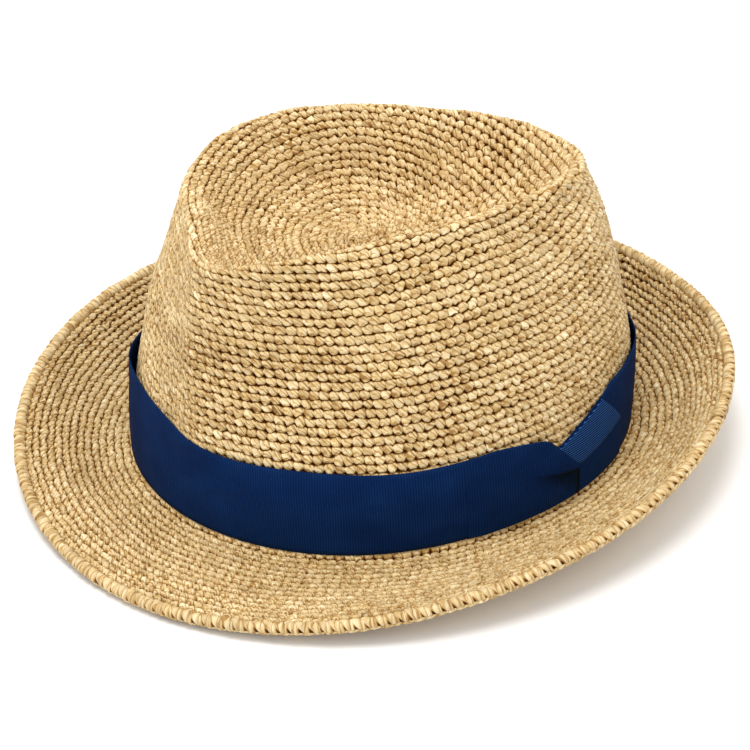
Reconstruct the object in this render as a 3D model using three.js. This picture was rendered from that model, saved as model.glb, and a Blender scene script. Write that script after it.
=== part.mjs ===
// A crocheted raffia fedora with a grosgrain hatband, in millimetres.
// +Z is up, the front of the hat looks along -Y and the wearer's left is +X.
// The hat stands on the flat ring under the break, where the crown turns into the brim: z = 0.
import * as THREE from "three";
import { mergeVertices } from "three/addons/utils/BufferGeometryUtils.js";

// Head oval, measured on the outside of the crown at the break.
const HALF_WIDTH = 89;
const HALF_DEPTH = 103;
const OVAL_POWER = 2.07;

// Crocheted wall.
const WALL = 3;
const BREAK_RADIUS = 2.5;
// Beside the break the brim is pressed level, a little thinner than elsewhere.
const SEAT_HEIGHT = 2.8;
const TIP_CENTRE = new THREE.Vector3(-11, -4, 80);

// Brim: the share of its width that lies level beside the break, and how sharply the rest curls.
const LEVEL = 0.2;
const CURL = 1.7;

// Edge round of chain stitches, with the wire that it hides and the sleeve that joins the wire.
const CHAIN_RADIUS = 2.4;
const CHAIN_BORE = 1.6;
const CHAIN_MOUTH = 0.75 * Math.PI;
const WIRE_RADIUS = 0.45;
const SLEEVE_RADIUS = 1.2;
const SLEEVE_BORE = 0.8;
const SLEEVE_LENGTH = 14;
const WIRE_GAP = 1.2;

// Hatband and sweatband, the clearance between neighbours and the slack of a band on the wall.
// The ribbon's folded end is narrower at its end by a share of its width.
const BAND_BOTTOM = 5.5;
const BAND_WIDTH = 32;
const RIBBON = 0.8;
const FOLD_TAPER = 0.1;
const CLEARANCE = 0.35;
const SLACK = 1.5;
const SWEATBAND_BOTTOM = 4;
const SWEATBAND_WIDTH = 30;
const SWEATBAND = 1.2;

// The brim is wider in front than behind, and its two sides differ a little, so the centre of
// the head oval isn't quite the middle of the hat.
const OVAL_CENTRE = [-1, 4.7, 0];

const ROUND_STEPS = 60;
const EDGE_STEPS = 72;

// The crest of the crown: an egg seen from above, with two corners at the front pinch.
// Each point is 30 degrees further round from the wearer's left, going by the back.
const crestCurve = closedCurve([
  [49, 0, 114],
  [44, 29, 112],
  [34, 64, 111],
  [7, 83, 107],
  [-25, 71, 109],
  [-51, 36, 112],
  [-64, 1, 114],
  [-68, -31, 111],
  [-52, -58, 104],
  [-22, -71, 99],
  [8, -79, 97],
  [36, -43, 107],
]);

// The brim's outer edge in the same directions: its width seen from above, and the height of
// the middle of the edge.
const edgeCurve = closedCurve([
  [45, 18.5, 0],
  [43, 27.5, 0],
  [41, 32, 0],
  [39.5, 29, 0],
  [40.5, 27, 0],
  [42, 25, 0],
  [43, 23, 0],
  [44, 22, 0],
  [46.5, 16, 0],
  [49, 7, 0],
  [49.5, 4.8, 0],
  [47.5, 9, 0],
]);

// Where fingers have shaped the front of the wall: two dents, and the corner beside each.
// Each has its direction, its half angle in degrees, and its depth at mid height.
const PINCHES = [
  { at: 322, half: 17, depth: 6 },
  { at: 289, half: 8, depth: -2.5 },
  { at: 246, half: 9, depth: -1.5 },
  { at: 207, half: 14, depth: 4 },
];
const PINCH_FOOT = 0.25;

// How the wall leans in on its way up: the higher the power, the later it leans.
const LEAN_SIDES = 1.8;
const LEAN_BACK = 2.5;
const LEAN_FRONT = 1.6;

const TURN = 2 * Math.PI;

// Shortest signed way between two directions.
function angleBetween(a, b) {
  return THREE.MathUtils.euclideanModulo(a - b + Math.PI, TURN) - Math.PI;
}

// A smooth closed curve through points at equal steps of direction.
function closedCurve(points) {
  return new THREE.CatmullRomCurve3(points.map((p) => new THREE.Vector3(...p)), true, "catmullrom", 0.5);
}

function inDirection(curve, t) {
  return curve.getPoint(THREE.MathUtils.euclideanModulo(t, TURN) / TURN);
}

// Point of the head oval, grown outwards by a distance, at height z.
function oval(t, grown, z) {
  const bend = (v) => Math.sign(v) * Math.abs(v) ** (2 / OVAL_POWER);
  const p = new THREE.Vector3(HALF_WIDTH * bend(Math.cos(t)), HALF_DEPTH * bend(Math.sin(t)), 0);
  p.setLength(p.length() + grown);
  return p.setZ(z);
}

// Top of the crown's crest in direction t.
function crest(t) {
  return inDirection(crestCurve, t);
}

// Point inside the crest on the sunk tip: share 0 is its centre, 1 the crest.
function tip(t, share, rise) {
  const top = crest(t);
  const p = TIP_CENTRE.clone().lerp(top, share);
  return p.setZ(THREE.MathUtils.lerp(TIP_CENTRE.z, top.z, rise));
}

// How far the fingers have pushed the wall in, at a share of its height.
function pinched(t, share) {
  const upper = THREE.MathUtils.clamp((share - PINCH_FOOT) / (1 - PINCH_FOOT), 0, 1);
  const away = (pinch) => angleBetween(t, THREE.MathUtils.degToRad(pinch.at));
  const near = (pinch) => Math.exp(-((away(pinch) / THREE.MathUtils.degToRad(pinch.half)) ** 2));
  const depth = PINCHES.reduce((sum, pinch) => sum + pinch.depth * near(pinch), 0);
  return Math.sin(Math.PI * upper) * depth;
}

// Point on the outside of the crown's wall: share 0 is the break, 1 the crest.
function wall(t, share) {
  const back = Math.max(0, Math.sin(t)) ** 2;
  const front = Math.max(0, -Math.sin(t)) ** 2;
  const power = LEAN_SIDES + (LEAN_BACK - LEAN_SIDES) * back + (LEAN_FRONT - LEAN_SIDES) * front;
  const lean = share ** power;
  const p = oval(t, 0, 0);
  const top = crest(t);
  p.set(THREE.MathUtils.lerp(p.x, top.x, lean), THREE.MathUtils.lerp(p.y, top.y, lean), 0);
  p.setLength(p.length() - pinched(t, share));
  return p.setZ(THREE.MathUtils.lerp(WALL, top.z, share));
}

// Point on the upper face of the brim: share 0 is the break, 1 the end of the crocheted rounds.
function brim(t, share) {
  const edge = inDirection(edgeCurve, t);
  const reach = edge.x - 2 * CHAIN_RADIUS;
  const rise = edge.y - WALL;
  const curl = Math.max(0, (share - LEVEL) / (1 - LEVEL)) ** CURL;
  return oval(t, reach * share, SEAT_HEIGHT + rise * curl);
}

// How far direction t looks to the wearer's right, and to the front.
const rightward = (t) => Math.max(0, -Math.cos(t));
const forward = (t) => Math.max(0, -Math.sin(t));

// Rows of points from the tip's centre over the crest and down the wall to the brim's edge.
const ROWS = [
  () => TIP_CENTRE.clone(),
  (t) => tip(t, 0.35, 0.02),
  (t) => tip(t, 0.6, 0.12 + 0.12 * rightward(t)),
  (t) => tip(t, 0.77, 0.46 + 0.12 * rightward(t) - 0.12 * forward(t)),
  (t) => tip(t, 0.91, 0.87),
  (t) => crest(t),
  (t) => wall(t, 0.94),
  (t) => wall(t, 0.8),
  (t) => wall(t, 0.6),
  (t) => wall(t, 0.4),
  (t) => wall(t, 0.2),
  (t) => wall(t, 0.07),
  (t) => wall(t, 0.02),
  (t) => oval(t, BREAK_RADIUS, SEAT_HEIGHT),
  (t) => brim(t, LEVEL),
  (t) => brim(t, 0.45),
  (t) => brim(t, 0.72),
  (t) => brim(t, 1),
];
const CREST_ROW = 5;
const BREAK_ROW = 13;
const EDGE_ROW = 17;

// Point of the hat's outer face on a row, or between two rows, in direction t.
function face(row, t) {
  const line = new THREE.CatmullRomCurve3(ROWS.map((at) => at(t)), false, "centripetal");
  return line.getPoint(THREE.MathUtils.clamp(row / EDGE_ROW, 0, 1));
}

// Way out of the hat's outer face there.
function out(row, t) {
  if (row < 0.01) return new THREE.Vector3(0, 0, 1);
  const step = 0.01;
  const along = face(Math.min(row + step, EDGE_ROW), t).sub(face(row - step, t));
  const round = face(row, t + step).sub(face(row, t - step));
  return along.cross(round).normalize();
}

// Point at a height over the hat's outer face. Nothing lies lower than the ring it stands on.
function over(row, t, height) {
  const p = face(row, t).addScaledVector(out(row, t), height);
  return p.setZ(Math.max(p.z, 0));
}

// A closed body made by moving each point of a plain one.
function moved(name, geometry, place, material) {
  const position = geometry.getAttribute("position");
  for (let i = 0; i < position.count; i += 1) {
    position.setXYZ(i, ...place(new THREE.Vector3().fromBufferAttribute(position, i)).toArray());
  }
  geometry.deleteAttribute("uv");
  geometry.deleteAttribute("normal");
  const merged = mergeVertices(geometry, 1e-3);
  merged.computeVertexNormals();
  const mesh = new THREE.Mesh(merged, material);
  mesh.name = name;
  return mesh;
}

// A body that goes all the way round: a turned outline whose radius is the row and whose
// height is the height over the outer face.
function turned(name, outline, place, material, steps = ROUND_STEPS) {
  const points = outline.map(([x, y]) => new THREE.Vector2(x, y));
  const geometry = new THREE.LatheGeometry(points, steps);
  return moved(name, geometry, (p) => place(Math.hypot(p.x, p.z), Math.atan2(p.x, p.z), p.y), material);
}

// Outline of a shell between two rows, open at neither end.
function shell(rows, bottom, top) {
  const under = rows.map((row) => [row, bottom]);
  const above = rows.map((row) => [row, top]).reverse();
  return [...under, ...above, under[0]];
}

function rowsBetween(first, last, steps) {
  return Array.from({ length: steps + 1 }, (_, i) => THREE.MathUtils.lerp(first, last, i / steps));
}

const straw = (color) => new THREE.MeshStandardMaterial({ color, roughness: 0.85, metalness: 0 });
const ribbonBlue = new THREE.MeshStandardMaterial({ color: "#0d2a5c", roughness: 0.7, metalness: 0 });
const threadBlue = new THREE.MeshStandardMaterial({ color: "#101f45", roughness: 0.8, metalness: 0 });
const steel = new THREE.MeshStandardMaterial({ color: "#9a9a9a", roughness: 0.35, metalness: 1 });
const cotton = new THREE.MeshStandardMaterial({ color: "#cbb184", roughness: 0.9, metalness: 0 });

// The sunk tip with its crest: a dish whose outline starts and ends at the centre. Its
// underside cuts straight across the tight bend under the crest.
function makeTip() {
  const rows = rowsBetween(0, CREST_ROW + 0.5, 12);
  const bend = (row) => row > CREST_ROW - 0.9 && row < CREST_ROW + 0.5;
  const under = rows.filter((row) => !bend(row)).map((row) => [row, -WALL]);
  const above = rows.map((row) => [row, 0]).reverse();
  return turned("crown_tip", [...under, ...above], over, straw("#d8b77c"));
}

function makeWall() {
  const rows = rowsBetween(CREST_ROW + 0.53, BREAK_ROW - 0.5, 9);
  return turned("crown_side", shell(rows, -WALL, 0), over, straw("#d6b478"));
}

function makeBrim() {
  const rows = [BREAK_ROW - 0.44, ...rowsBetween(BREAK_ROW, EDGE_ROW, 8)];
  return turned("brim", shell(rows, -WALL, 0), over, straw("#cfac72"));
}

// Point near the brim's edge, in the plane across it: x goes outwards from the middle of the
// edge round, y upwards.
function atEdge(t, x, y) {
  const end = over(EDGE_ROW, t, -WALL / 2);
  const up = out(EDGE_ROW, t);
  const round = face(EDGE_ROW, t + 0.01).sub(face(EDGE_ROW, t - 0.01)).normalize();
  const outwards = round.cross(up);
  return end.addScaledVector(outwards, CHAIN_RADIUS + x).addScaledVector(up, y);
}

// Edge round: a ring of C section, open towards the brim.
function makeChain() {
  const arc = (radius, steps) =>
    rowsBetween(-CHAIN_MOUTH, CHAIN_MOUTH, steps).map((a) => [radius * Math.cos(a), radius * Math.sin(a)]);
  const outside = arc(CHAIN_RADIUS, 7);
  const inside = arc(CHAIN_BORE, 5).reverse();
  const outline = [...outside, ...inside, outside[0]].map(([x, y]) => [x + 2 * CHAIN_RADIUS, y]);
  const place = (x, t, y) => atEdge(t, x - 2 * CHAIN_RADIUS, y);
  return turned("brim_edge_chain", outline, place, straw("#d9ba82"), EDGE_STEPS);
}

// Arc length of the edge round per radian at the back, where the wire is joined.
const BACK = Math.PI / 2;
const EDGE_PER_RADIAN = atEdge(BACK + 0.05, 0, 0).distanceTo(atEdge(BACK - 0.05, 0, 0)) / 0.1;

// Round wire in the edge: a bent rod whose two ends almost meet at the back.
function makeWire() {
  const half = WIRE_GAP / 2 / EDGE_PER_RADIAN;
  const rod = new THREE.CylinderGeometry(WIRE_RADIUS, WIRE_RADIUS, TURN - 2 * half, 6, EDGE_STEPS);
  return moved("brim_edge_wire", rod, (p) => atEdge(BACK + Math.PI + p.y, p.x, p.z), steel);
}

function makeSleeve() {
  const half = SLEEVE_LENGTH / 2 / EDGE_PER_RADIAN;
  const outline = [
    [SLEEVE_BORE, -half],
    [SLEEVE_RADIUS, -half],
    [SLEEVE_RADIUS, 0],
    [SLEEVE_RADIUS, half],
    [SLEEVE_BORE, half],
    [SLEEVE_BORE, 0],
    [SLEEVE_BORE, -half],
  ].map(([x, y]) => new THREE.Vector2(x, y));
  const tube = new THREE.LatheGeometry(outline, 12);
  return moved("wire_joint_sleeve", tube, (p) => atEdge(BACK + p.y, p.x, p.z), steel);
}

// Point on a strip that lies along the wall: height z up it, and a depth over the wall.
function onWall(t, z, depth) {
  const p = wall(t, (z - WALL) / (crest(t).z - WALL)).setZ(0);
  return p.setLength(p.length() + depth).setZ(z);
}

// A strip that goes all the way round the wall.
function ring(name, bottom, width, depth, thickness, material) {
  const heights = rowsBetween(bottom, bottom + width, 4);
  const outline = shell(heights, depth, depth + thickness);
  const place = (z, t, y) => onWall(t, z, y);
  const strip = turned(name, outline, place, material);
  strip.geometry.index.array.reverse();
  return strip;
}

// A short strip along the wall from one direction to another. Its far end may be narrower.
function patch(name, from, to, bottom, width, depth, thickness, material, taper = 0) {
  const middle = THREE.MathUtils.degToRad((from + to) / 2);
  const angle = THREE.MathUtils.degToRad(to - from);
  const box = new THREE.BoxGeometry(thickness, angle, width, 1, 6, 3);
  const place = (p) => {
    const z = bottom + width / 2 + p.z * (1 - taper * (p.y / angle + 0.5));
    return onWall(middle + p.y, z, depth + thickness / 2 + p.x);
  };
  return moved(name, box, place, material);
}

// Hatband: the ribbon round the crown, its folded end over the seam on the wearer's left and
// the short keeper whose ribs run lengthwise, each held by small stitches.
function makeHatband() {
  const first = SLACK;
  const second = first + RIBBON + CLEARANCE;
  const third = second + RIBBON + CLEARANCE;
  const tacks = [
    [19.5, 9],
    [19.5, 17],
    [19.5, 25],
    [34, 9],
    [34, 31],
  ];
  return [
    ring("hatband_ribbon", BAND_BOTTOM, BAND_WIDTH, first, RIBBON, ribbonBlue),
    patch("hatband_folded_end", -5, 21, BAND_BOTTOM, BAND_WIDTH, second, RIBBON, ribbonBlue, FOLD_TAPER),
    patch("hatband_keeper", 21.5, 35.5, BAND_BOTTOM, BAND_WIDTH, second, RIBBON, ribbonBlue),
    ...tacks.map(([at, z], i) =>
      patch(`hatband_tack_${i + 1}`, at, at + 0.5, z - 1.5, 3, third, 0.5, threadBlue)),
  ];
}

// Sweatband inside the crown, with the tab over its seam at the back.
function makeSweatband() {
  const depth = -WALL - SLACK - SWEATBAND;
  const tab = depth - CLEARANCE - RIBBON;
  return [
    ring("sweatband", SWEATBAND_BOTTOM, SWEATBAND_WIDTH, depth, SWEATBAND, cotton),
    patch("sweatband_seam_tab", 86, 94, SWEATBAND_BOTTOM + 1, SWEATBAND_WIDTH - 2, tab, RIBBON, cotton),
  ];
}

const fedora = new THREE.Group();
fedora.add(makeTip(), makeWall(), makeBrim(), makeChain(), makeWire(), makeSleeve());
fedora.add(...makeHatband(), ...makeSweatband());
fedora.position.set(...OVAL_CENTRE);

export default fedora;
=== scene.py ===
"""Looks of the crocheted raffia fedora: stitched rounds, hatband, sweatband, floor, light and camera.

Everything is in metres in the frame's own axes: +Z up, -Y the front of the hat, +X the wearer's left.
"""

import math

import bmesh
import bpy
import numpy as np
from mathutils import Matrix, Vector


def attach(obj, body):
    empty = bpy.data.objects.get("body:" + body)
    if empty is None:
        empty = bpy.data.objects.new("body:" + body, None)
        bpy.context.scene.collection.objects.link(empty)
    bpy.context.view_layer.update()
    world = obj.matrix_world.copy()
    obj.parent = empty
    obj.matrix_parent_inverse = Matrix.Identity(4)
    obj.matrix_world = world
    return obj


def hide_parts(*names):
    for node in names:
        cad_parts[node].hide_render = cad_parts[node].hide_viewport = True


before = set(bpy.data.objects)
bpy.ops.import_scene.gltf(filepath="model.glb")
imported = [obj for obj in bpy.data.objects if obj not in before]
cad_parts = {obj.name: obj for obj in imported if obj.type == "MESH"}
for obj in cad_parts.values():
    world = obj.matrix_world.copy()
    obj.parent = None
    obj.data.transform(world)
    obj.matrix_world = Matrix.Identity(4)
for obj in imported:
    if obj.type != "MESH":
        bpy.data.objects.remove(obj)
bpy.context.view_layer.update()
RANDOM = np.random.default_rng(11)

# ---------------------------------------------------------------- the hat's form, in millimetres

MM = 0.001
HALF_WIDTH, HALF_DEPTH, OVAL_POWER = 89.0, 103.0, 2.07
OVAL_CENTRE = np.array([-1.0, 4.7, 0.0])
WALL = 3.0
BREAK_RADIUS = 2.5
SEAT_HEIGHT = 2.8
TIP_CENTRE = np.array([-11.0, -4.0, 80.0])
CHAIN_RADIUS = 2.4

# Crest of the crown, each point 30 degrees further round from the wearer's left by the back.
CREST = np.array(
    [
        [49, 0, 114],
        [44, 29, 112],
        [34, 64, 111],
        [7, 83, 107],
        [-25, 71, 109],
        [-51, 36, 112],
        [-64, 1, 114],
        [-68, -31, 111],
        [-52, -58, 104],
        [-22, -71, 99],
        [8, -79, 97],
        [36, -43, 107],
    ],
    float,
)
# Brim's width seen from above and the height of the middle of its edge, in the same directions.
EDGE = np.array(
    [
        [45, 18.5],
        [43, 27.5],
        [41, 32],
        [39.5, 29],
        [40.5, 27],
        [42, 25],
        [43, 23],
        [44, 22],
        [46.5, 16],
        [49, 7],
        [49.5, 4.8],
        [47.5, 9],
    ],
    float,
)
# Where fingers have shaped the wall: direction, half angle and depth.
PINCHES = ((322, 17, 6.0), (289, 8, -2.5), (246, 9, -1.5), (207, 14, 4.0))
PINCH_FOOT = 0.25
LEVEL, CURL = 0.2, 1.7


def column(*parts):
    return np.stack(np.broadcast_arrays(*parts), -1).astype(float)


def lengthened(p, extra):
    """Points moved away from the hat's axis by a distance, in plan."""
    q = p.copy()
    r = np.hypot(q[..., 0], q[..., 1])
    k = (r + extra) / np.maximum(r, 1e-9)
    q[..., 0] *= k
    q[..., 1] *= k
    return q


def oval(t, grown, z):
    def bend(v):
        return np.sign(v) * np.abs(v) ** (2 / OVAL_POWER)

    p = column(HALF_WIDTH * bend(np.cos(t)), HALF_DEPTH * bend(np.sin(t)), np.zeros_like(t) + z)
    return lengthened(p, grown)


def closed_curve(points, t):
    """Closed uniform Catmull-Rom curve through points at equal steps of direction."""
    n = len(points)
    f = (t / (2 * np.pi)) % 1.0 * n
    i = np.floor(f).astype(int) % n
    u = (f - np.floor(f))[:, None]
    a, b, c, d = (points[(i + k) % n] for k in (-1, 0, 1, 2))
    return 0.5 * (2 * b + (c - a) * u + (2 * a - 5 * b + 4 * c - d) * u**2 + (3 * b - a - 3 * c + d) * u**3)


def crest(t):
    return closed_curve(CREST, t)


def tip(t, share, rise):
    top = crest(t)
    p = TIP_CENTRE + (top - TIP_CENTRE) * share
    p[:, 2] = TIP_CENTRE[2] + (top[:, 2] - TIP_CENTRE[2]) * rise
    return p


def pinched(t, share):
    upper = np.clip((share - PINCH_FOOT) / (1 - PINCH_FOOT), 0, 1)
    depth = 0
    for at, half, deep in PINCHES:
        depth = depth + deep * near(t, at, half)
    return np.sin(np.pi * upper) * depth


def near(t, at, half):
    """1 in one direction, falling to 0 away from it; both in degrees."""
    turn = (t - math.radians(at) + np.pi) % (2 * np.pi) - np.pi
    return np.exp(-((turn / math.radians(half)) ** 2))


def wall(t, share):
    back, front = np.maximum(0, np.sin(t)) ** 2, np.maximum(0, -np.sin(t)) ** 2
    lean = (share ** (1.8 + 0.7 * back - 0.2 * front))[:, None]
    p = oval(t, 0, 0.0)
    top = crest(t)
    p[:, :2] += (top[:, :2] - p[:, :2]) * lean
    p = lengthened(p, -pinched(t, share))
    p[:, 2] = WALL + (top[:, 2] - WALL) * share
    return p


def brim(t, share):
    width, height = closed_curve(EDGE, t).T
    curl = max(0.0, (share - LEVEL) / (1 - LEVEL)) ** CURL
    return oval(t, (width - 2 * CHAIN_RADIUS) * share, SEAT_HEIGHT + (height - WALL) * curl)


def rightward(t):
    return np.maximum(0, -np.cos(t))


def forward(t):
    return np.maximum(0, -np.sin(t))


ROWS = (
    lambda t: np.tile(TIP_CENTRE, (len(t), 1)),
    lambda t: tip(t, 0.35, 0.02),
    lambda t: tip(t, 0.6, 0.12 + 0.12 * rightward(t)),
    lambda t: tip(t, 0.77, 0.46 + 0.12 * rightward(t) - 0.12 * forward(t)),
    lambda t: tip(t, 0.91, 0.87),
    crest,
    lambda t: wall(t, 0.94),
    lambda t: wall(t, 0.8),
    lambda t: wall(t, 0.6),
    lambda t: wall(t, 0.4),
    lambda t: wall(t, 0.2),
    lambda t: wall(t, 0.07),
    lambda t: wall(t, 0.02),
    lambda t: oval(t, BREAK_RADIUS, SEAT_HEIGHT),
    lambda t: brim(t, LEVEL),
    lambda t: brim(t, 0.45),
    lambda t: brim(t, 0.72),
    lambda t: brim(t, 1.0),
)
BREAK_ROW, EDGE_ROW = 13, 17


def spline(keys, steps):
    """Centripetal Catmull-Rom curves through rows of key points, one curve for each direction."""
    first = 2 * keys[:1] - keys[1:2]
    last = 2 * keys[-1:] - keys[-2:-1]
    k = np.concatenate([first, keys, last])
    u = (np.arange(steps) / steps)[:, None, None]
    out = []
    for i in range(len(keys) - 1):
        a, b, c, d = k[i : i + 4]
        pairs = ((a, b), (b, c), (c, d))
        g = [np.maximum(np.linalg.norm(q - p, axis=-1, keepdims=True) ** 0.5, 1e-4) for p, q in pairs]
        s = ((b - a) / g[0] - (c - a) / (g[0] + g[1]) + (c - b) / g[1]) * g[1]
        e = ((c - b) / g[1] - (d - b) / (g[1] + g[2]) + (d - c) / g[2]) * g[1]
        out.append(b + s * u + (-3 * b + 3 * c - 2 * s - e) * u**2 + (2 * b - 2 * c + s + e) * u**3)
    return np.concatenate(out + [keys[-1:]])


# ---------------------------------------------------------------- rounds of stitches laid on the form

CROWN_ROUNDS = 55
BRIM_ROUNDS = 14
ROUNDS = CROWN_ROUNDS + BRIM_ROUNDS
DIRECTIONS = 1440
FINE = 8

T = np.arange(DIRECTIONS) * 2 * np.pi / DIRECTIONS


def form_grid():
    """Positions and outward normals of the outer face, by round and direction."""
    steps = 24
    g = spline(np.stack([row(T) for row in ROWS]), steps)
    lengths = np.linalg.norm(np.diff(g, axis=0), axis=-1)
    arc = np.concatenate([np.zeros((1, DIRECTIONS)), np.cumsum(lengths, 0)])
    crown, total = arc[BREAK_ROW * steps], arc[-1]
    pitch = crown.mean() / CROWN_ROUNDS
    kappa = np.arange(ROUNDS * FINE + 1) / FINE
    share = np.clip(kappa / CROWN_ROUNDS, 0, 1)[:, None]
    smooth = share**2 * (3 - 2 * share)
    on_crown = pitch * kappa[:, None] + (crown - pitch * CROWN_ROUNDS) * smooth
    on_brim = crown + (total - crown) * (kappa[:, None] - CROWN_ROUNDS) / BRIM_ROUNDS
    want = np.where(kappa[:, None] <= CROWN_ROUNDS, on_crown, on_brim)
    p = np.empty((len(kappa), DIRECTIONS, 3))
    for j in range(DIRECTIONS):
        for c in range(3):
            p[:, j, c] = np.interp(want[:, j], arc[:, j], g[:, j, c])
    along = np.gradient(p, axis=0)
    around = np.roll(p, -1, 1) - np.roll(p, 1, 1)
    n = np.cross(along, around)
    n[0] = (0, 0, 1)
    n /= np.linalg.norm(n, axis=-1, keepdims=True) + 1e-12
    p += OVAL_CENTRE
    return p, n


FORM, NORMAL = form_grid()


def sampled(grid, kappa, t):
    """Value of a grid at fractional rounds and directions."""
    x = (t / (2 * np.pi)) % 1.0 * DIRECTIONS
    j = np.floor(x).astype(int)
    v = (x - j)[..., None]
    y = np.clip(kappa * FINE, 0, ROUNDS * FINE - 1e-6)
    i = np.floor(y).astype(int)
    u = (y - i)[..., None]
    j0, j1 = j % DIRECTIONS, (j + 1) % DIRECTIONS
    near_row = grid[i, j0] * (1 - v) + grid[i, j1] * v
    far_row = grid[i + 1, j0] * (1 - v) + grid[i + 1, j1] * v
    return near_row * (1 - u) + far_row * u


def ring_share(kappa):
    """Share of a round's length from the back, its directions, and its length in millimetres."""
    start = DIRECTIONS // 4
    i = int(round(kappa * FINE))
    ring = np.roll(FORM[i], -start, 0)
    ring = np.concatenate([ring, ring[:1]])
    length = np.concatenate([[0], np.cumsum(np.linalg.norm(np.diff(ring, axis=0), axis=-1))])
    turn = (np.arange(DIRECTIONS + 1) + start) * 2 * np.pi / DIRECTIONS
    return length / max(length[-1], 1e-6), turn, length[-1]


class Patch:
    """Vertices, faces and point attributes collected from strips, made into one object."""

    def __init__(self):
        self.points, self.faces, self.attributes, self.count = [], [], {}, 0

    def grid(self, points, closed, attributes, flip=False):
        """A grid of points (rows, columns, 3), closed round its columns or not."""
        rows, columns = points.shape[:2]
        index = np.arange(rows * columns).reshape(rows, columns) + self.count
        right = np.roll(index, -1, 1) if closed else index[:, 1:]
        left = index if closed else index[:, :-1]
        quads = np.stack([left[:-1], left[1:], right[1:], right[:-1]], -1).reshape(-1, 4)
        self.faces.append(quads[:, ::-1] if flip else quads)
        self.points.append(points.reshape(-1, 3))
        for name, value in attributes.items():
            flat = np.asarray(value, float).reshape(rows * columns, -1)
            self.attributes.setdefault(name, []).append(flat)
        self.count += rows * columns

    def object(self, name, material, node, weld=False):
        points = np.concatenate(self.points) * MM
        faces = np.concatenate(self.faces)
        mesh = bpy.data.meshes.new(name)
        mesh.vertices.add(len(points))
        mesh.vertices.foreach_set("co", points.ravel())
        mesh.loops.add(faces.size)
        mesh.loops.foreach_set("vertex_index", faces.ravel())
        mesh.polygons.add(len(faces))
        mesh.polygons.foreach_set("loop_start", np.arange(len(faces)) * 4)
        mesh.polygons.foreach_set("loop_total", np.full(len(faces), 4))
        mesh.update(calc_edges=True)
        mesh.validate()
        mesh.polygons.foreach_set("use_smooth", np.ones(len(faces), bool))
        for key, parts in self.attributes.items():
            value = np.concatenate(parts)
            kind = "FLOAT_VECTOR" if value.shape[1] == 3 else "FLOAT"
            layer = mesh.attributes.new(key, kind, "POINT")
            layer.data.foreach_set("vector" if kind == "FLOAT_VECTOR" else "value", value.ravel())
        if weld:
            work = bmesh.new()
            work.from_mesh(mesh)
            bmesh.ops.remove_doubles(work, verts=work.verts, dist=1e-6)
            work.to_mesh(mesh)
            work.free()
        piece = bpy.data.objects.new(name, mesh)
        bpy.context.scene.collection.objects.link(piece)
        mesh.materials.append(material)
        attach(piece, "root")
        for one in node:
            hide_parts(one)
        return piece


COLUMNS = 10
ACROSS = np.array([-0.04, 0.0, 0.05, 0.16, 0.32, 0.5, 0.68, 0.84, 0.94, 1.0, 1.04])
PLAIN_COLUMNS = 6
ACROSS_PLAIN = np.array([-0.04, 0.0, 0.12, 0.35, 0.65, 0.88, 1.0, 1.04])
SKIRT = 1.5  # how far a round's two edges are tucked in under its neighbours, in millimetres


def stitches_in(kappa, width, held):
    """Number of stitches in a round: it changes only every few rounds."""
    level = (int(kappa) // held) * held + held / 2
    return max(6, int(round(ring_share(min(level, ROUNDS - 0.5))[2] / width)))


def rounded(v):
    """Profile of a puffed edge: 0 at the edge, rising steeply, 1 from a distance of 1."""
    return 1 - (1 - np.clip(v, 0, 1)) ** 2


def stitch_relief(q, b, n, kind, loose):
    """Height over the form of a round's face, in millimetres, and how open it is there from 0 to 1, which
    sets the painted shade in hollows.

    A stitch is a puffed hood: arched at its upper edge and narrower at its lower one, with a
    slanting crease or two and openings beside its foot, darkened with painted shade.
    """
    j = np.clip(np.floor(q + 1e-9).astype(int), 0, n - 1)
    x = q - j
    tall = kind["height"] * (0.8 + 0.4 * RANDOM.random(n))[j]
    arch = np.clip(RANDOM.normal(kind["arch"], 0.06, n), 0.04, 0.5)[j]
    waist = np.clip(RANDOM.normal(kind["waist"], 0.13, n), 0.05, 0.75)[j] + 0.14 * loose
    short = np.clip(RANDOM.normal(0.0, 0.05, n), -0.08, 0.1)[j]
    slant = (0.16 * RANDOM.standard_normal(n))[j]
    pit = kind["pit"] * np.clip(RANDOM.normal(1.0, 0.35, n), 0.2, 1.8)[j]
    side = np.abs(2 * x - 1 + slant * np.sin(np.pi * x) * (b - 0.5))
    top = b - arch * side**3
    foot = np.clip((b - 0.42) / 0.58, 0, 1)
    flank = 1.25 - (0.23 + waist) * foot**1.2 - side
    end = 1.02 - short - b
    dome = (rounded(top / 0.26) * rounded(flank / 0.34) * rounded(end / 0.15)) ** 0.55
    crease = np.cos(2 * np.pi * (1.6 * x - 1.1 * b * np.clip(2 * x, 0, 1)) + 9 * slant) * dome
    hollow = np.clip(-np.minimum(top / 0.2, flank / 0.3), 0, 1)
    h = tall * (dome - 0.62) + 0.11 * kind["height"] * crease - pit * hollow
    # Painted shade: how much of the straw's colour shows, low in hollows and between stitches.
    painted_shade_openness = np.clip(0.16 + 0.84 * dome - 0.6 * np.minimum(hollow * 2.5, 1), 0, 1)
    return h, painted_shade_openness


def sway(waves, share, kappa):
    """Smooth closed unevenness over the whole fabric, about 1 at most."""
    total = sum(np.sin(2 * np.pi * (f * share + g * kappa / ROUNDS + p)) for f, g, p in waves)
    return total / len(waves) ** 0.5


SWELLS, LOOSE = (
    [(RANDOM.integers(-16, 17), RANDOM.normal(0, 4), RANDOM.random()) for _ in range(14)] for _ in range(2)
)

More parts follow.
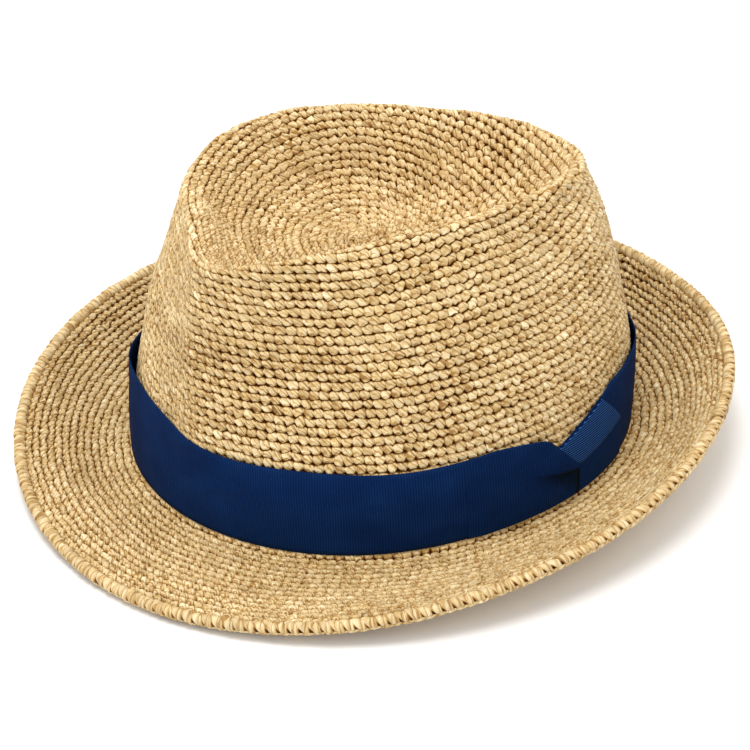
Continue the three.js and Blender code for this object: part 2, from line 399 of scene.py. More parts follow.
HOOD = {"height": 1.3, "arch": 0.16, "waist": 0.42, "pit": 1.1}
TIP_HOOD = {"height": 1.1, "arch": 0.14, "waist": 0.30, "pit": 0.7}
BRIM_HOOD = {"height": 1.25, "arch": 0.24, "waist": 0.52, "pit": 1.1}
INSIDE_HOOD = {"height": 0.8, "arch": 0.12, "waist": 0.2, "pit": 0.15}
INSIDE_DEPTH = 2.5  # from the outer face to the inner one, in millimetres
DEEPEST = 1.5  # no opening goes deeper than this, so that it stays clear of the other face
BAND_ROUND = 51  # the round in the middle of the ribbon, where the fabric is pulled even


def lay_round(patch, k, n, phase, edges, kind, inside=False):
    """One round of stitches between two wavy edges, as a strip of the patch."""
    columns, across = (PLAIN_COLUMNS, ACROSS_PLAIN) if inside else (COLUMNS, ACROSS)
    q = np.arange(n * columns + 1) / columns
    share = (q + phase) / n
    along, turn, _ = ring_share(k + 0.5)
    t = np.interp(share % 1.0, along, turn)
    b = across[:, None]
    upper, lower = k + edges[0](share), k + 1 + edges[1](share)
    kappa = np.clip(upper[None] * (1 - b) + lower[None] * b, 0, ROUNDS)
    grid_b = np.broadcast_to(np.clip(b, 0, 1), kappa.shape)
    q = np.broadcast_to(q, kappa.shape)
    h, painted_shade_openness = stitch_relief(q, grid_b, n, kind, sway(LOOSE, share, kappa))
    tucked = (b < 0) | (b > 1)
    h -= np.where(tucked, 0.3 if inside else SKIRT, 0.0)
    h = np.maximum(h, -DEEPEST)
    calm = 1 - 0.8 * np.exp(-(((kappa - BAND_ROUND) / 5.0) ** 2))
    swell = 0.4 * calm * np.clip(sway(SWELLS, share, kappa), -1.5, 1.5)
    # Painted shade: the tucked edges are fully darkened.
    painted_shade_openness = np.where(tucked, 0.0, painted_shade_openness)
    tt = np.broadcast_to(t, kappa.shape)
    p, out = sampled(FORM, kappa, tt), sampled(NORMAL, kappa, tt)
    out /= np.linalg.norm(out, axis=-1, keepdims=True)
    off = swell - INSIDE_DEPTH - h if inside else swell + h
    p = p + out * off[..., None]
    p[..., 2] = np.maximum(p[..., 2], 0.05)
    stitch = column(q, k + grid_b, np.full(kappa.shape, float(k)))
    patch.grid(p, False, {"stitch": stitch, "open": painted_shade_openness}, inside)


def edge_line(k):
    """Wavy boundary between two rounds, the same for both."""
    if k in edge_line.made:
        return edge_line.made[k]
    waves = [(RANDOM.integers(20, 120), RANDOM.random(), RANDOM.normal(0, 0.04)) for _ in range(6)]

    def line(share):
        if k <= 1 or k >= ROUNDS:
            return np.zeros_like(share)
        return sum(a * np.sin(2 * np.pi * (f * share + p)) for f, p, a in waves)

    edge_line.made[k] = line
    return line


edge_line.made = {}


def crochet(name, first, last, material, node, kind, width=3.84, held=6, inside=False):
    """Rounds of stitches as one piece. Each round's stitches stand a little further on than the last's."""
    patch = Patch()
    for k in range(first, last):
        n = stitches_in(k, width, held)
        lay_round(patch, k, n, 0.12 * k, (edge_line(k), edge_line(k + 1)), kind, inside)
    return patch.object(name, material, node)


# ---------------------------------------------------------------- materials


class Nodes:
    """Short way to write a material's nodes."""

    def __init__(self, name):
        self.material = bpy.data.materials.new(name)
        self.material.use_nodes = True
        self.tree = self.material.node_tree
        self.shader = self.tree.nodes["Principled BSDF"]

    def add(self, kind, inputs=(), **settings):
        node = self.tree.nodes.new(kind)
        for key, value in settings.items():
            setattr(node, key, value)
        for key, value in dict(inputs).items():
            socket = node.inputs[key]
            if isinstance(value, bpy.types.NodeSocket):
                self.tree.links.new(value, socket)
            else:
                socket.default_value = value
        return node

    def attribute(self, name):
        return self.add("ShaderNodeAttribute", attribute_name=name, attribute_type="GEOMETRY")

    def math(self, operation, a, b=0.0, clamp=False):
        return self.add("ShaderNodeMath", {0: a, 1: b}, operation=operation, use_clamp=clamp).outputs[0]

    def vector_math(self, operation, a, b=(0, 0, 0)):
        return self.add("ShaderNodeVectorMath", {0: a, 1: b}, operation=operation).outputs[0]

    def ramp(self, value, stops, kind="LINEAR"):
        node = self.add("ShaderNodeValToRGB", {0: value})
        node.color_ramp.interpolation = kind
        elements = node.color_ramp.elements
        while len(elements) < len(stops):
            elements.new(0.5)
        for element, (at, colour) in zip(elements, stops):
            element.position = at
            element.color = (*colour, 1)
        return node.outputs[0]

    def mix(self, factor, a, b, blend="MIX"):
        node = self.add("ShaderNodeMix", data_type="RGBA", blend_type=blend)
        for socket, value in ((node.inputs[0], factor), (node.inputs[6], a), (node.inputs[7], b)):
            if isinstance(value, bpy.types.NodeSocket):
                self.tree.links.new(value, socket)
            else:
                socket.default_value = value
        return node.outputs[2]

    def out(self, **sockets):
        for key, value in sockets.items():
            socket = self.shader.inputs[key.replace("_", " ")]
            if isinstance(value, bpy.types.NodeSocket):
                self.tree.links.new(value, socket)
            else:
                socket.default_value = value
        return self.material


# Colours of the straw from dull to bright, and the painted shade that darkens its creases and openings.
STRAW_TONES = [
    (0.25, (0.28, 0.155, 0.036)),
    (0.40, (0.48, 0.315, 0.115)),
    (0.50, (0.62, 0.435, 0.190)),
    (0.60, (0.77, 0.580, 0.290)),
    (0.75, (0.95, 0.86, 0.60)),
]
PAINTED_CREASE_SHADE = [(0.0, (0.26, 0.14, 0.03)), (0.45, (0.55, 0.39, 0.20)), (1.0, (1, 1, 1))]
PAINTED_OPENING_SHADE = [
    (0.0, (0.15, 0.055, 0.004)),
    (0.25, (0.48, 0.28, 0.07)),
    (0.5, (0.85, 0.70, 0.42)),
    (0.75, (1, 1, 1)),
]


def raffia(name):
    """Flat raffia strands folded into stitches: fibres along each strand, tones, painted shade in creases
    and openings, and a painted highlight on the strands' folds.
    """
    m = Nodes(name)
    stitch = m.attribute("stitch").outputs["Vector"]
    painted_shade_openness = m.attribute("open").outputs["Fac"]
    x, y, z = m.add("ShaderNodeSeparateXYZ", {0: stitch}).outputs
    part = m.math("FRACT", x)
    down = m.math("SUBTRACT", y, z)
    turn = m.add("ShaderNodeMapRange", {0: part, 1: 0.1, 2: 0.55, 3: 0.0, 4: 0.75}).outputs[0]
    across = m.math("SUBTRACT", part, m.math("MULTIPLY", down, turn))
    number = m.math("FLOOR", x)
    which = m.math("ADD", m.math("MULTIPLY", number, 3.7), m.math("MULTIPLY", z, 17.3))
    place = m.add("ShaderNodeCombineXYZ", {0: across, 1: down, 2: which}).outputs[0]
    fibre = m.add("ShaderNodeMapping", {0: place, 3: (10.0, 1.3, 1.0)}).outputs[0]
    fine = {"Vector": fibre, "Scale": 1.0, "Detail": 4.0, "Roughness": 0.6}
    fibres = m.add("ShaderNodeTexNoise", fine).outputs[0]
    strand = m.add("ShaderNodeMapping", {0: place, 3: (3.2, 0.8, 1.0)}).outputs[0]
    strands = m.add("ShaderNodeTexNoise", {"Vector": strand, "Scale": 1.0, "Detail": 1.0}).outputs[0]
    cell = m.add("ShaderNodeCombineXYZ", {0: number, 1: z, 2: 0.0}).outputs[0]
    tone = m.add("ShaderNodeTexWhiteNoise", {"Vector": cell}, noise_dimensions="3D").outputs["Value"]
    broad = m.add("ShaderNodeMapping", {0: stitch, 3: (0.05, 0.0, 0.13)}).outputs[0]
    patches = m.add("ShaderNodeTexNoise", {"Vector": broad, "Scale": 1.0, "Detail": 2.0}).outputs[0]
    mixed = m.math("ADD", m.math("MULTIPLY", fibres, 0.6), m.math("MULTIPLY", strands, 0.4))
    light = m.math("ADD", mixed, m.math("MULTIPLY", m.math("SUBTRACT", tone, 0.5), 0.10))
    light = m.math("ADD", light, m.math("MULTIPLY", m.math("SUBTRACT", patches, 0.5), 0.30))
    colour = m.ramp(light, STRAW_TONES)
    # The strands' slanting folds: they shape the bump and carry painted shade in their hollows and a
    # painted highlight, towards pale cream, on their crests.
    winding = m.math("ADD", m.math("MULTIPLY", across, 2.4), m.math("MULTIPLY", strands, 1.6))
    winding = m.math("ADD", winding, m.math("MULTIPLY", tone, 2.0))
    fold = m.math("SINE", m.math("MULTIPLY", winding, 2 * math.pi))
    line = m.add("ShaderNodeMapRange", {0: fold, 1: -1.0, 2: -0.5, 3: 0.42, 4: 1.0}).outputs[0]
    painted_highlight = m.add("ShaderNodeMapRange", {0: fold, 1: 0.4, 2: 1.0, 3: 0.0, 4: 0.35}).outputs[0]
    colour = m.mix(painted_highlight, colour, (0.93, 0.84, 0.62, 1))
    colour = m.mix(1.0, colour, m.ramp(line, PAINTED_CREASE_SHADE), "MULTIPLY")
    mixed = m.math("ADD", mixed, m.math("MULTIPLY", fold, 0.12))
    streak = m.add("ShaderNodeMapping", {0: stitch, 3: (0.3, 0.0, 1.9)}).outputs[0]
    other = m.add("ShaderNodeTexNoise", {"Vector": streak, "Scale": 1.0}).outputs[0]
    yellow = m.add("ShaderNodeMapRange", {0: other, 1: 0.5, 2: 0.75, 3: 0.0, 4: 0.45}).outputs[0]
    colour = m.mix(yellow, colour, m.mix(1.0, colour, (1.0, 0.93, 0.70, 1), "MULTIPLY"))
    # Painted shade in openings and hollows.
    colour = m.mix(1.0, colour, m.ramp(painted_shade_openness, PAINTED_OPENING_SHADE), "MULTIPLY")
    rough = m.add("ShaderNodeMapRange", {0: fibres, 1: 0.3, 2: 0.7, 3: 0.75, 4: 0.45}).outputs[0]
    bump = m.add("ShaderNodeBump", {"Strength": 0.7, "Distance": 0.0006, "Height": mixed}).outputs[0]
    return m.out(Base_Color=colour, Roughness=rough, Normal=bump, Specular_IOR_Level=0.35)


def grosgrain(name, lengthwise=False):
    """Ribbed ribbon: the ribs run across the ribbon, or along it. Painted shade darkens it towards
    green-black where its shade value is set; the lengthwise kind has a base painted lighter and a painted
    highlight on its unshaded ribs.
    """
    m = Nodes(name)
    place = m.attribute("ribbon").outputs["Vector"]
    x, y, shade = m.add("ShaderNodeSeparateXYZ", {0: place}).outputs
    across, height = (y, x) if lengthwise else (x, y)
    pitch = 0.9 if lengthwise else 0.95
    rib = m.math("SINE", m.math("MULTIPLY", across, 2 * math.pi / pitch))
    along_thread, over_thread = m.math("MULTIPLY", across, 1.3), m.math("MULTIPLY", height, 5.0)
    threads = m.add("ShaderNodeCombineXYZ", {0: along_thread, 1: over_thread}).outputs[0]
    weave = m.add("ShaderNodeTexNoise", {"Vector": threads, "Scale": 1.0, "Detail": 3.0}).outputs[0]
    broad = m.add("ShaderNodeMapping", {0: place, 3: (0.05, 0.08, 0.0)}).outputs[0]
    cloud = m.add("ShaderNodeTexNoise", {"Vector": broad, "Scale": 1.0, "Detail": 2.0}).outputs[0]
    light = m.math("ADD", m.math("MULTIPLY", rib, 0.10), m.math("MULTIPLY", weave, 0.6))
    light = m.math("ADD", light, m.math("MULTIPLY", cloud, 0.35))
    colour = m.ramp(
        light,
        [(0.2, (0.0008, 0.0080, 0.040)), (0.47, (0.0016, 0.0130, 0.060)), (0.8, (0.0070, 0.036, 0.130))],
    )
    # The lengthwise kind, for the keeper, is painted lighter than the band, and the ribs of its unshaded
    # half carry a painted highlight.
    if lengthwise:
        colour = m.mix(0.4, colour, (0.0006, 0.026, 0.12, 1))
        rib_highlight = m.add("ShaderNodeMapRange", {0: rib, 1: 0.35, 2: 0.95, 3: 0.0, 4: 1.0}).outputs[0]
        unshaded_share = m.add("ShaderNodeMapRange", {0: shade, 1: 0.0, 2: 0.12, 3: 1.0, 4: 0.0}).outputs[0]
        colour = m.mix(m.math("MULTIPLY", rib_highlight, unshaded_share), colour, (0.042, 0.115, 0.30, 1))
    # Painted shade: darker towards green-black where the shade value is set.
    colour = m.mix(shade, colour, m.mix(1.0, colour, (0.05, 0.32, 0.08, 1), "MULTIPLY"))
    relief = m.math("ADD", m.math("MULTIPLY", rib, 0.5), m.math("MULTIPLY", weave, 0.5))
    strength = {"Strength": 0.6 if lengthwise else 0.4, "Distance": 0.00025}
    bump = m.add("ShaderNodeBump", {**strength, "Height": relief}).outputs[0]
    rough = m.add("ShaderNodeMapRange", {0: weave, 1: 0.3, 2: 0.7, 3: 0.85, 4: 0.65}).outputs[0]
    return m.out(Base_Color=colour, Roughness=rough, Normal=bump, Specular_IOR_Level=0.04)


def cotton_tape(name, dark, light, pitch):
    """Twill tape: slanting ribs of a pitch in millimetres, with slubs."""
    m = Nodes(name)
    x, y, _ = m.add("ShaderNodeSeparateXYZ", {0: m.attribute("ribbon").outputs["Vector"]}).outputs
    turns = 2 * math.pi / pitch
    slant = m.math("ADD", m.math("MULTIPLY", x, turns), m.math("MULTIPLY", y, turns))
    twill = m.math("SINE", slant)
    along_thread, over_thread = m.math("MULTIPLY", x, 0.9), m.math("MULTIPLY", y, 4.0)
    threads = m.add("ShaderNodeCombineXYZ", {0: along_thread, 1: over_thread}).outputs[0]
    slubs = m.add("ShaderNodeTexNoise", {"Vector": threads, "Scale": 1.0, "Detail": 4.0}).outputs[0]
    light_by = m.math("ADD", m.math("MULTIPLY", twill, 0.12), slubs)
    colour = m.ramp(light_by, [(0.3, dark), (0.7, light)])
    bump = m.add("ShaderNodeBump", {"Strength": 0.5, "Distance": 0.0003, "Height": light_by}).outputs[0]
    rough = m.add("ShaderNodeMapRange", {0: slubs, 1: 0.3, 2: 0.7, 3: 0.95, 4: 0.75}).outputs[0]
    return m.out(Base_Color=colour, Roughness=rough, Normal=bump, Specular_IOR_Level=0.2)


def drawn_steel(name):
    """Drawn wire: fine streaks and dull spots."""
    m = Nodes(name)
    place = m.add("ShaderNodeTexCoord").outputs["Object"]
    streaks = m.add("ShaderNodeTexNoise", {"Vector": place, "Scale": 900.0, "Detail": 3.0}).outputs[0]
    colour = m.ramp(streaks, [(0.3, (0.36, 0.36, 0.37)), (0.7, (0.62, 0.62, 0.61))])
    rough = m.add("ShaderNodeMapRange", {0: streaks, 1: 0.3, 2: 0.7, 3: 0.5, 4: 0.25}).outputs[0]
    bump = m.add("ShaderNodeBump", {"Strength": 0.2, "Distance": 0.0001, "Height": streaks}).outputs[0]
    return m.out(Base_Color=colour, Roughness=rough, Normal=bump, Metallic=1.0)


def pale_floor():
    m = Nodes("pale_floor")
    place = m.add("ShaderNodeTexCoord").outputs["Object"]
    cloud = m.add("ShaderNodeTexNoise", {"Vector": place, "Scale": 1.5, "Detail": 3.0}).outputs[0]
    colour = m.ramp(cloud, [(0.3, (0.90, 0.90, 0.90)), (0.7, (0.93, 0.93, 0.93))])
    return m.out(Base_Color=colour, Roughness=0.8, Specular_IOR_Level=0.1)


RAFFIA = raffia("raffia")
RIBBON = grosgrain("grosgrain")
RIBBON_ALONG = grosgrain("grosgrain_lengthwise", True)
COTTON = cotton_tape("cotton_tape", (0.42, 0.30, 0.16), (0.66, 0.52, 0.33), 1.1)
TAN_THREAD = cotton_tape("tan_thread", (0.50, 0.38, 0.22), (0.74, 0.60, 0.40), 0.5)
NAVY_THREAD = cotton_tape("navy_thread", (0.0015, 0.006, 0.028), (0.004, 0.016, 0.06), 0.5)
STEEL = drawn_steel("drawn_steel")

# ---------------------------------------------------------------- the pieces

crochet("crown_tip_rounds", 0, 19, RAFFIA, ["crown_tip"], TIP_HOOD, held=1)
crochet("crown_crest_rounds", 19, 29, RAFFIA, [], HOOD)
crochet("crown_upper_rounds", 29, 38, RAFFIA, ["crown_side"], HOOD)
crochet("crown_middle_rounds", 38, 47, RAFFIA, [], HOOD)
crochet("crown_lower_rounds", 47, 55, RAFFIA, [], HOOD)
crochet("brim_inner_rounds", 55, 60, RAFFIA, ["brim"], BRIM_HOOD, 3.5, 1)
crochet("brim_middle_rounds", 60, 65, RAFFIA, [], BRIM_HOOD, 3.5, 1)
crochet("brim_outer_rounds", 65, 69, RAFFIA, [], BRIM_HOOD, 3.5, 1)
crochet("crown_inside_rounds_upper", 0, 32, RAFFIA, [], INSIDE_HOOD, held=1, inside=True)
crochet("crown_inside_rounds_lower", 32, 55, RAFFIA, [], INSIDE_HOOD, inside=True)
crochet("brim_under_rounds", 55, 69, RAFFIA, [], INSIDE_HOOD, 3.5, 1, True)


def on_wall(t, z, depth):
    """Points beside the crown's wall, at a height and a distance out from it."""
    t, z, depth = np.broadcast_arrays(t, z, depth)
    shape = t.shape
    t, z, depth = t.ravel(), z.ravel(), depth.ravel()
    share = (z - WALL) / (crest(t)[:, 2] - WALL)
    p = lengthened(wall(t, share), depth)
    p[:, 2] = z
    p += OVAL_CENTRE
    return p.reshape(*shape, 3)


def ribbon_strip(patch, t, z, depth, thickness, shade=0.0):
    """A strip with thickness: t runs along it, z, depth and shade are grids (across, along); shade is
    painted shade, kept in the ribbon attribute.
    """
    z, depth, shade, t = np.broadcast_arrays(z, depth, shade, t)
    outer, inner = on_wall(t, z, depth + thickness), on_wall(t, z, depth)
    loop = np.concatenate([outer, inner[::-1], outer[:1]])
    place = column(RIBBON_REACH * t, z, shade)
    around = np.concatenate([place, place[::-1], place[:1]])
    patch.grid(loop, False, {"ribbon": around}, flip=True)
    for end, flip in ((0, False), (-1, True)):
        cap = np.stack([outer[:, end], inner[:, end]], 1)
        mark = np.stack([place[:, end]] * 2, 1)
        patch.grid(cap, False, {"ribbon": mark}, flip)


def smooth_step(v, low, high):
    u = np.clip((v - low) / (high - low), 0, 1)
    return u * u * (3 - 2 * u)


RIBBON_REACH = 95.0  # millimetres along the ribbon for a radian
BAND_BOTTOM, BAND_TOP = 4.6, 38.0
CLOTH = 0.45
SEAM_GAP = 0.003  # radians between the two ends of a band, under its fold or tab


def band_bottom(t):
    return BAND_BOTTOM + 0.25 * np.sin(5 * t + 1)


def degrees(t):
    """Direction in degrees from -180 to 180."""
    return (np.degrees(t) + 180) % 360 - 180


def band_top(t):
    """Upper edge of the ribbon: lower over the near side, and notched where the fold turns down."""
    top = BAND_TOP + 0.35 * np.sin(4 * t) + 0.2 * np.sin(9 * t + 2) - 2.4 * near(t, 320, 40)
    at = degrees(t)
    folded = (at > SAG_START) & (at < CLIMB_END[0])
    return np.where(folded, np.minimum(top, folded_top(at)), top)


# Directions in degrees and heights of the ribbon's upper edge where it is folded: it sags to a
# corner, drops into a notch, and climbs to its full height along the keeper.
SAG_START, SAG_DEPTH = -8.0, 4.9
CORNER = (11.5, 33.0)
NOTCH_FLOOR = (14.3, 27.4)
CLIMB_END, CLIMB_POWER = (37.0, 38.6), 0.9


def folded_top(at):
    """Upper edge of the ribbon between the start of its sag and the end of the climb."""
    sunk = np.clip((at - SAG_START) / (CORNER[0] - SAG_START), 0, 1) ** 2
    sag = CORNER[1] + SAG_DEPTH * (1 - sunk)
    drop = np.interp(at, *zip(CORNER, NOTCH_FLOOR))
    risen = np.clip((at - NOTCH_FLOOR[0]) / (CLIMB_END[0] - NOTCH_FLOOR[0]), 0, 1) ** CLIMB_POWER
    climb = NOTCH_FLOOR[1] + (CLIMB_END[1] - NOTCH_FLOOR[1]) * risen
    return np.where(at < CORNER[0], sag, np.where(at < NOTCH_FLOOR[0], drop, climb))


def band_off(t, v):
    """How far the ribbon's inner face stands off the wall: it gapes at the front and past the keeper."""
    return 1.3 + 0.3 * np.sin(7 * t + 2) * v + 2.6 * near(t, 243, 11) * v + 1.6 * near(t, 62, 9) * v


def hatband():
    patch = Patch()
    t = np.linspace(0, 2 * np.pi - SEAM_GAP, 1081)
    v = np.linspace(0, 1, 17)[:, None]
    z = band_bottom(t) + (band_top(t) - band_bottom(t)) * v
    ribbon_strip(patch, t, z, band_off(t, v), CLOTH)
    return patch.object("hatband_ribbon_cloth", RIBBON, ["hatband_ribbon"], True)


FOLD_START, FOLD_END = -8.0, 19.7
CUT_TOP, CUT_FOOT = 33.6, 16.7  # the fold's straight slanting edge, from the corner to its end


def folded_end():
    """The ribbon's end over its seam: the top corner is turned down, which leaves a slanting top and,
    under a soft crease, a recess, darkened with painted shade below the crease and along the end's edge."""
    patch = Patch()
    t = np.radians(np.linspace(FOLD_START, FOLD_END, 120))
    at = np.degrees(t)
    v = np.linspace(0, 1, 80)[:, None]
    whole = band_top(t) + 0.6 * smooth_step(at, -2, 8)
    cut = np.interp(at, (CORNER[0], FOLD_END), (CUT_TOP, CUT_FOOT))
    top = np.where(at < CORNER[0], whole, cut)
    z = band_bottom(t) + (top - band_bottom(t)) * v
    crease = 20.5 - 0.40 * (at - 8.5)
    over = 1 / (1 + np.exp(-(z - crease) / 0.35))
    lift = smooth_step(at, 3, 16)
    step = CLOTH * smooth_step(at, FOLD_START, FOLD_START + 4)
    off = band_off(t, 0.0) + 0.35 + step + (0.1 + 2.2 * over * (1 - 0.35 * v)) * lift
    reach = 2.5 + 8.0 * smooth_step(at, 9, FOLD_END)
    # Painted shade below the crease and along the end's edge.
    deep = smooth_step(z, crease - reach - 2.0, crease - 0.3 * reach) * smooth_step(at, 6, 15)
    rim = smooth_step(at, FOLD_END - 1.6, FOLD_END - 0.7)
    painted_shade_under = (1 - over) * np.maximum(deep * (0.7 + 0.3 * smooth_step(z, crease - 2.5, crease)), rim)
    ribbon_strip(patch, t, z, off, CLOTH, painted_shade_under)
    return patch.object("hatband_folded_end_cloth", RIBBON, ["hatband_folded_end"], True)


KEEPER_START, KEEPER_END, KEEPER_SLANT = 12.0, 38.0, 0.4
PLEAT = ((12, 22), (20, 17.3), (38, 21.5))


def keeper():
    """The short piece that comes out from under the fold, its ribs lengthwise, pleated along its
    middle and cut off at a slant."""
    patch = Patch()
    u = np.linspace(0, 1, 110)
    v = np.linspace(0, 1, 80)[:, None]
    end = KEEPER_END - KEEPER_SLANT * np.maximum(36 * v - PLEAT[-1][1] + BAND_BOTTOM, 0)
    t = np.radians(KEEPER_START + (end - KEEPER_START) * u)
    z = band_bottom(t) - 0.1 + (band_top(t) + 0.7 - band_bottom(t)) * v
    pleat = np.interp(np.degrees(t), *zip(*PLEAT))
    upper = 1 / (1 + np.exp(-(z - pleat) / 0.3))
    off = band_off(t, 0.0) + CLOTH + 0.25 + 1.2 * upper * (1 - 0.6 * v)
    # Painted shade on the half below the pleat.
    ribbon_strip(patch, t, z, off, CLOTH, 0.12 * (1 - upper))
    return patch.object("hatband_keeper_cloth", RIBBON_ALONG, ["hatband_keeper"], True)


def dash(patch, start, end, radius):
    """One visible thread stitch between two points: a slim bar with rounded ends."""
    axis = end - start
    side = np.cross(axis, (0.3, 0.5, 1.0))
    side /= np.linalg.norm(side)
    other = np.cross(axis, side)
    other /= np.linalg.norm(other)
    along = np.array([0.0, 0.08, 0.3, 0.7, 0.92, 1.0])
    thick = radius * np.array([0.05, 0.7, 1.0, 1.0, 0.7, 0.05])
    a = np.linspace(0, 2 * np.pi, 8, endpoint=False)
    ring = np.cos(a)[:, None] * side + np.sin(a)[:, None] * other
    points = start + along[:, None, None] * axis + thick[:, None, None] * ring[None]
    place = column(along[:, None] * np.linalg.norm(axis), a * radius, 0 * a)
    patch.grid(points, True, {"ribbon": place})


# Each tack's direction in degrees, its height and how far it stands off the wall.
TACKS = ((19.6, 6.0, 2.2), (19.6, 8.5, 2.2), (19.6, 11.0, 2.2), (35.3, 6.5, 2.0), (35.3, 33.0, 2.8))


def tacks():
    """Small hand stitches that hold the fold's end and the keeper's end down."""
    for i, (at, z, off) in enumerate(TACKS):
        patch = Patch()
        for rise in (0.0, 0.7):
            across, heights = np.radians([at - 0.5, at + 0.5]), np.array([z + rise, z + rise + 0.4])
            ends = on_wall(across, heights, np.array([off, off - 0.5]))
            dash(patch, ends[0], ends[1], 0.2)
        patch.object(f"hatband_tack_{i + 1}_thread", NAVY_THREAD, [f"hatband_tack_{i + 1}"])


SWEAT_BOTTOM, SWEAT_TOP = 4.6, 34.0
SWEAT_OFF = -5.3


def sweat_off(t, v):
    """The sweatband's free upper edge stands in from the wall a little more than its sewn lower edge."""
    return SWEAT_OFF - 0.9 * v - 0.35 * np.sin(11 * t + 1) * v**2


def sweatband():
    patch = Patch()
    t = np.linspace(np.pi / 2, 5 * np.pi / 2 - SEAM_GAP, 721)
    v = np.linspace(0, 1, 17)[:, None]
    z = SWEAT_BOTTOM + (SWEAT_TOP + 0.25 * np.sin(6 * t) - SWEAT_BOTTOM) * v
    ribbon_strip(patch, t, z, sweat_off(t, v), 0.7)
    piece = patch.object("sweatband_cloth", COTTON, ["sweatband"], True)
    thread = Patch()
    count = 190
    for i in range(count):
        at = (i + np.array([0.12, 0.82])) * 2 * np.pi / count
        low = SWEAT_BOTTOM + 2.2 + RANDOM.normal(0, 0.1)
        ends = on_wall(at, np.full(2, low), sweat_off(at, 0.05) - 0.1)
        dash(thread, ends[0], ends[1], 0.24)
    thread.object("sweatband_stitching", TAN_THREAD, [])
    return piece


def seam_tab():
    """A folded tape over the sweatband's seam at the back, a little proud along its two hems."""
    patch = Patch()
    t = np.radians(np.linspace(86, 94, 30))
    v = np.linspace(0, 1, 24)[:, None]
    u = np.linspace(-1, 1, 30)
    z = 5.4 + 27.4 * v + 0 * t
    off = sweat_off(t, v) - 0.9 - 0.3 * np.exp(-(((np.abs(u) - 0.82) / 0.12) ** 2))
    ribbon_strip(patch, t, z, off, 0.6)
    return patch.object("sweatband_seam_tab_cloth", COTTON, ["sweatband_seam_tab"], True)


EDGE_CHAINS = 226


def edge_chain():
    """The brim's edge: a cord of slanting chain stitches above a finer half round, pitted between them."""
    last = ROUNDS * FINE
    around = np.roll(FORM[last], -1, 0) - np.roll(FORM[last], 1, 0)
    around /= np.linalg.norm(around, axis=-1, keepdims=True)
    up = NORMAL[last]
    outwards = np.cross(around, up)
    centre = FORM[last] - 1.5 * up + 1.9 * outwards
    along, turn, _ = ring_share(ROUNDS)
    columns = 12
    q = np.arange(EDGE_CHAINS * columns + 1) / columns
    t = np.interp(q / EDGE_CHAINS % 1.0, along, turn)
    j = t / (2 * np.pi) % 1.0 * DIRECTIONS
    low, part = np.floor(j).astype(int) % DIRECTIONS, (j % 1.0)[:, None]

    def at(grid):
        return grid[low] * (1 - part) + grid[(low + 1) % DIRECTIONS] * part

    middle, up, outwards = at(centre), at(up), at(outwards)
    for name, first, last_angle, slant, tall, mark in (
        ("brim_edge_chain_upper", -20, 175, 0.9, 1.0, 900.0),
        ("brim_edge_chain_lower", -185, -20, -0.4, 0.7, 901.0),
    ):
        patch = Patch()
        b = np.linspace(0, 1, 15)[:, None]
        angle = np.radians(first + (last_angle - first) * b)
        slid = q + slant * (b - 0.5) + (0.5 if mark > 900 else 0.0)
        number = np.floor(slid).astype(int) % EDGE_CHAINS
        x = slid - np.floor(slid)
        size = (0.8 + 0.4 * RANDOM.random(EDGE_CHAINS))[number]
        side = np.abs(2 * x - 1)
        hole = np.clip(RANDOM.normal(1.0, 0.4, EDGE_CHAINS), 0.2, 2.0)[number]
        hole = hole * np.exp(-(((b - 0.08) / 0.15) ** 2)) * side**3
        ends = rounded((b + 0.06) / 0.3) * rounded((1.05 - b) / 0.3)
        dome = (rounded((1.04 - side) / 0.45) * ends) ** 0.5
        crease = np.cos(2 * np.pi * (1.4 * x + 0.6 * b)) * dome
        radius = 1.55 + tall * size * dome + 0.06 * crease - 0.9 * hole
        # Painted shade in the chain's holes.
        painted_shade_openness = np.clip(0.2 + 0.8 * dome - 1.3 * hole, 0, 1)
        across, above = (np.cos(angle) * radius)[..., None], (np.sin(angle) * radius)[..., None]
        points = middle[None] + across * outwards + above * up
        stitch = column(slid, mark + np.broadcast_to(b, slid.shape), np.full(slid.shape, mark))
        patch.grid(points, False, {"stitch": stitch, "open": painted_shade_openness}, True)
        patch.object(name, RAFFIA, ["brim_edge_chain"] if mark == 900 else [])


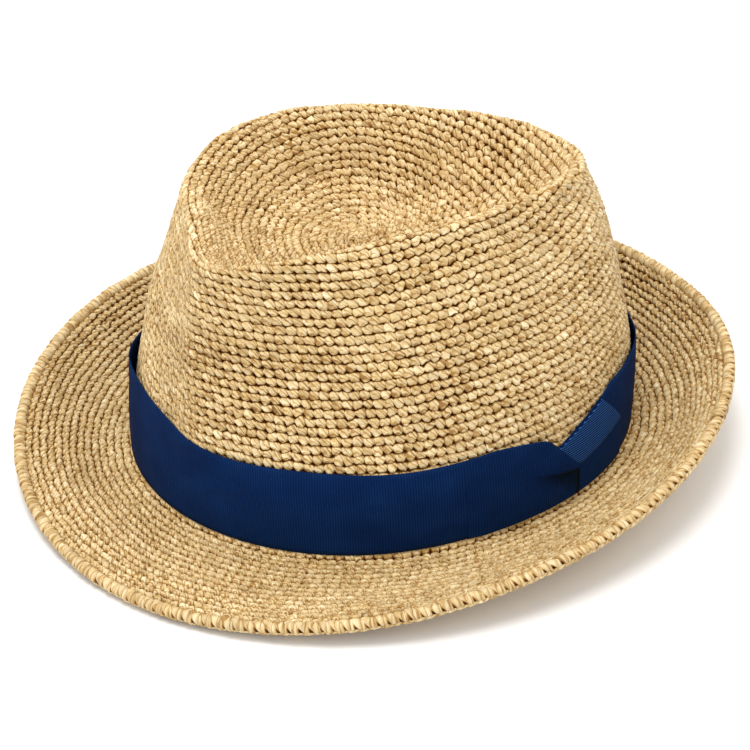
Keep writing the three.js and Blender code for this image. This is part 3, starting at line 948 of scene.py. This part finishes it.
ribbon, fold, keep = hatband(), folded_end(), keeper()
tacks()
band, tab = sweatband(), seam_tab()
edge_chain()
for node in ("brim_edge_wire", "wire_joint_sleeve"):
    steel_piece = bpy.data.objects[node]
    for one in steel_piece.material_slots:
        one.material = STEEL

# ---------------------------------------------------------------- floor, light and camera

floor_mesh = bpy.data.meshes.new("floor")
floor_mesh.from_pydata([(-4, -4, 0), (4, -4, 0), (4, 4, 0), (-4, 4, 0)], [], [(0, 1, 2, 3)])
floor = bpy.data.objects.new("floor", floor_mesh)
bpy.context.scene.collection.objects.link(floor)
floor_mesh.materials.append(pale_floor())

scene = bpy.context.scene
scene.view_settings.view_transform = "Standard"

world = bpy.data.worlds.new("studio")
scene.world = world
world.use_nodes = True
world.node_tree.nodes["Background"].inputs[0].default_value = (1.0, 1.0, 1.0, 1.0)
world.node_tree.nodes["Background"].inputs[1].default_value = 1.0

AZIMUTH, ELEVATION = math.radians(60), math.radians(31.9)
TARGET = Vector((*OVAL_CENTRE[:2] * MM, 0.0415))
LEVEL_BACK = Vector((math.sin(AZIMUTH), -math.cos(AZIMUTH), 0)) * math.cos(ELEVATION)
BACK = LEVEL_BACK + Vector((0, 0, math.sin(ELEVATION)))
CAMERA_DISTANCE = 0.75


def area_light(name, direction, distance, size, power):
    light = bpy.data.lights.new(name, "AREA")
    light.shape = "DISK"
    light.size = size
    light.energy = power
    lamp = bpy.data.objects.new(name, light)
    lamp.location = TARGET + Vector(direction).normalized() * distance
    lamp.rotation_euler = (TARGET - lamp.location).to_track_quat("-Z", "Y").to_euler()
    scene.collection.objects.link(lamp)
    return lamp


area_light("key", (0.0, -0.15, 1.0), 1.5, 0.8, 14)

camera = bpy.data.cameras.new("camera")
camera.lens = 90
camera.sensor_width = 36
camera.shift_x = -0.012
camera.shift_y = -0.0565
eye = bpy.data.objects.new("camera", camera)
eye.location = TARGET + BACK * CAMERA_DISTANCE
eye.rotation_euler = (-BACK).to_track_quat("-Z", "Y").to_euler()
scene.collection.objects.link(eye)
scene.camera = eye
